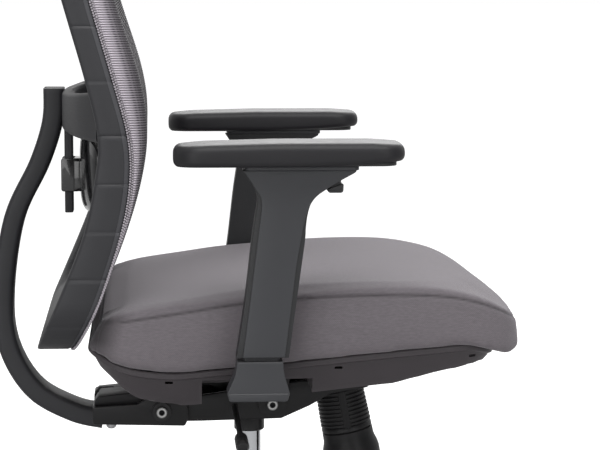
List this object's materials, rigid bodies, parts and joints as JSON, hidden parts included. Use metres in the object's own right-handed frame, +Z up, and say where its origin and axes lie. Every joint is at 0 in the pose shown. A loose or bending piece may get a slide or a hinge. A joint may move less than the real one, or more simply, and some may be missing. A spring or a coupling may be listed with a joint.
{
  "type": "office task chair",
  "caption": "Swivel task chair with a ribbed mesh back in a moulded frame, grey fabric seat, T armrests, synchro tilt with tension knob, gas lift and a star base on twin casters.",
  "frame": {"origin": "on the floor, under the axis of the gas column", "axes": "+X forward, +Y the sitter's left, +Z up"},
  "size_m": [0.6745, 0.6546, 1.092],
  "materials": {
    "base_plastic": "moulded, fine grain",
    "caster_plastic": "moulded",
    "caster_tread": "smooth polyurethane",
    "column_paint": "black powder coat",
    "chrome": "polished",
    "zinc": "zinc plated",
    "mech_paint": "black, satin",
    "mech_plastic": "moulded, satin",
    "frame_plastic": "moulded, fine grain",
    "gloss_black": "polished",
    "back_mesh": "ribbed elastic mesh, light grey",
    "seat_fabric": "woven, warm grey",
    "pan_plastic": "moulded, fine grain",
    "plywood": "raw",
    "arm_plastic": "moulded, satin",
    "pad_foam": "soft skinned foam"
  },
  "bodies": {
    "base": {"star_base": "base_plastic", "gas_outer_tube": "column_paint", "column_bushing": "mech_plastic", "caster_stems": "zinc"},
    "column": {"piston_rod": "zinc", "thrust_bearing": "zinc"},
    "mechanism": {"gas_cylinder": "chrome", "mech_housing": "mech_paint", "front_axle": "zinc", "rear_axle": "zinc", "spring_cup": "mech_plastic", "tension_spring": "zinc", "spring_bolt": "zinc"},
    "valve": {"valve_pin": "zinc"},
    "height_lever_body": {"height_lever": "mech_paint", "height_grip": "mech_plastic"},
    "lock_lever_body": {"lock_lever": "mech_paint", "lock_grip": "mech_plastic"},
    "knob": {"tension_knob": "mech_plastic"},
    "back": {"back_carrier": "mech_paint", "spine_clamp": "mech_plastic", "bumper_bolts": "zinc", "back_spine": "frame_plastic", "back_crossbar": "frame_plastic", "lumbar_rail": "frame_plastic", "back_frame": "frame_plastic", "back_mesh": "back_mesh"},
    "lumbar": {"lumbar_pad": "gloss_black"},
    "seat": {"seat_plate": "mech_paint", "link_pin": "zinc", "seat_pan": "pan_plastic", "seat_board": "plywood", "seat_cushion": "seat_fabric", "seat_screws": "zinc", "arm_bracket_R": "arm_plastic", "arm_bracket_L": "arm_plastic", "arm_post_R": "arm_plastic", "arm_post_L": "arm_plastic", "arm_bolts": "zinc"},
    "arm_R": {"arm_sleeve_R": "arm_plastic"},
    "button_R": {"arm_button_R": "mech_plastic"},
    "slide_R": {"pad_carrier_R": "mech_plastic"},
    "pad_R": {"arm_pad_R": "pad_foam", "pad_base_R": "mech_plastic"},
    "arm_L": {"arm_sleeve_L": "arm_plastic"},
    "button_L": {"arm_button_L": "mech_plastic"},
    "slide_L": {"pad_carrier_L": "mech_plastic"},
    "pad_L": {"arm_pad_L": "pad_foam", "pad_base_L": "mech_plastic"},
    "caster_1": {"caster_hood_1": "caster_plastic"},
    "wheels_1": {"caster_wheels_1": "caster_tread"},
    "caster_2": {"caster_hood_2": "caster_plastic"},
    "wheels_2": {"caster_wheels_2": "caster_tread"},
    "caster_3": {"caster_hood_3": "caster_plastic"},
    "wheels_3": {"caster_wheels_3": "caster_tread"},
    "caster_4": {"caster_hood_4": "caster_plastic"},
    "wheels_4": {"caster_wheels_4": "caster_tread"},
    "caster_5": {"caster_hood_5": "caster_plastic"},
    "wheels_5": {"caster_wheels_5": "caster_tread"}
  },
  "joints": [
    {"name": "seat_swivel", "type": "hinge", "parent": "base", "child": "column", "pos_m": [0, 0, 0.1], "axis": [0, 0, 1], "continuous": true},
    {"name": "seat_height", "type": "slide", "parent": "column", "child": "mechanism", "axis": [0, 0, 1], "range_m": [-0.03, 0.07]},
    {"name": "valve_travel", "type": "slide", "parent": "mechanism", "child": "valve", "axis": [0, 0, -1], "range_m": [0, 0.0045]},
    {"name": "height_lever_lift", "type": "hinge", "parent": "mechanism", "child": "height_lever_body", "pos_m": [-0.02, -0.059, 0.335], "axis": [-1, 0, 0], "range_deg": [0, 4], "stiffness_Nm_per_rad": 1, "springref_deg": -2.86},
    {"name": "lock_lever_turn", "type": "hinge", "parent": "mechanism", "child": "lock_lever_body", "pos_m": [-0.052, 0.2, 0.335], "axis": [0, 1, 0], "range_deg": [0, 25]},
    {"name": "tension_knob_turn", "type": "hinge", "parent": "mechanism", "child": "knob", "pos_m": [0.11, 0, 0.35], "axis": [0.1908, 0, -0.9816], "continuous": true},
    {"name": "back_recline", "type": "hinge", "parent": "mechanism", "child": "back", "pos_m": [-0.1075, 0, 0.3316], "axis": [0, -1, 0], "range_deg": [0, 22], "stiffness_Nm_per_rad": 60, "springref_deg": -28.65},
    {"name": "seat_tilt", "type": "hinge", "parent": "mechanism", "child": "seat", "pos_m": [0.025, 0, 0.3388], "axis": [0, -1, 0], "range_deg": [0, 7.8]},
    {"name": "lumbar_height", "type": "slide", "parent": "back", "child": "lumbar", "axis": [0, 0, 1], "range_m": [0, 0.03]},
    {"name": "arm_height_R", "type": "slide", "parent": "seat", "child": "arm_R", "axis": [0.1414, 0, 0.9899], "range_m": [0, 0.07]},
    {"name": "arm_button_press_R", "type": "slide", "parent": "arm_R", "child": "button_R", "axis": [0, 0, 1], "range_m": [0, 0.003], "stiffness_N_per_m": 400, "springref_m": -0.001},
    {"name": "pad_slide_R", "type": "slide", "parent": "arm_R", "child": "slide_R", "axis": [1, 0, 0], "range_m": [-0.025, 0.025]},
    {"name": "pad_swivel_R", "type": "hinge", "parent": "slide_R", "child": "pad_R", "pos_m": [0.04, -0.285, 0.645], "axis": [0, 0, 1], "range_deg": [-15, 15]},
    {"name": "arm_height_L", "type": "slide", "parent": "seat", "child": "arm_L", "axis": [0.1414, 0, 0.9899], "range_m": [0, 0.07]},
    {"name": "arm_button_press_L", "type": "slide", "parent": "arm_L", "child": "button_L", "axis": [0, 0, 1], "range_m": [0, 0.003], "stiffness_N_per_m": 400, "springref_m": -0.001},
    {"name": "pad_slide_L", "type": "slide", "parent": "arm_L", "child": "slide_L", "axis": [1, 0, 0], "range_m": [-0.025, 0.025]},
    {"name": "pad_swivel_L", "type": "hinge", "parent": "slide_L", "child": "pad_L", "pos_m": [0.04, 0.285, 0.645], "axis": [0, 0, 1], "range_deg": [-15, 15]},
    {"name": "caster_swivel_1", "type": "hinge", "parent": "base", "child": "caster_1", "pos_m": [0.24675, 0.17927, 0.05], "axis": [0, 0, 1], "continuous": true},
    {"name": "wheel_spin_1", "type": "hinge", "parent": "caster_1", "child": "wheels_1", "pos_m": [0.22675, 0.17927, 0.0275], "axis": [0, 1, 0], "continuous": true},
    {"name": "caster_swivel_2", "type": "hinge", "parent": "base", "child": "caster_2", "pos_m": [-0.09425, 0.29007, 0.05], "axis": [0, 0, 1], "continuous": true},
    {"name": "wheel_spin_2", "type": "hinge", "parent": "caster_2", "child": "wheels_2", "pos_m": [-0.11425, 0.29007, 0.0275], "axis": [0, 1, 0], "continuous": true},
    {"name": "caster_swivel_3", "type": "hinge", "parent": "base", "child": "caster_3", "pos_m": [-0.305, 0, 0.05], "axis": [0, 0, 1], "continuous": true},
    {"name": "wheel_spin_3", "type": "hinge", "parent": "caster_3", "child": "wheels_3", "pos_m": [-0.325, 0, 0.0275], "axis": [0, 1, 0], "continuous": true},
    {"name": "caster_swivel_4", "type": "hinge", "parent": "base", "child": "caster_4", "pos_m": [-0.09425, -0.29007, 0.05], "axis": [0, 0, 1], "continuous": true},
    {"name": "wheel_spin_4", "type": "hinge", "parent": "caster_4", "child": "wheels_4", "pos_m": [-0.11425, -0.29007, 0.0275], "axis": [0, 1, 0], "continuous": true},
    {"name": "caster_swivel_5", "type": "hinge", "parent": "base", "child": "caster_5", "pos_m": [0.24675, -0.17927, 0.05], "axis": [0, 0, 1], "continuous": true},
    {"name": "wheel_spin_5", "type": "hinge", "parent": "caster_5", "child": "wheels_5", "pos_m": [0.22675, -0.17927, 0.0275], "axis": [0, 1, 0], "continuous": true}
  ],
  "couplings": [
    {"joint": "valve_travel", "follows": "height_lever_lift", "m_per_rad": 0.058},
    {"joint": "seat_tilt", "follows": "back_recline", "ratio": 0.35}
  ]
}
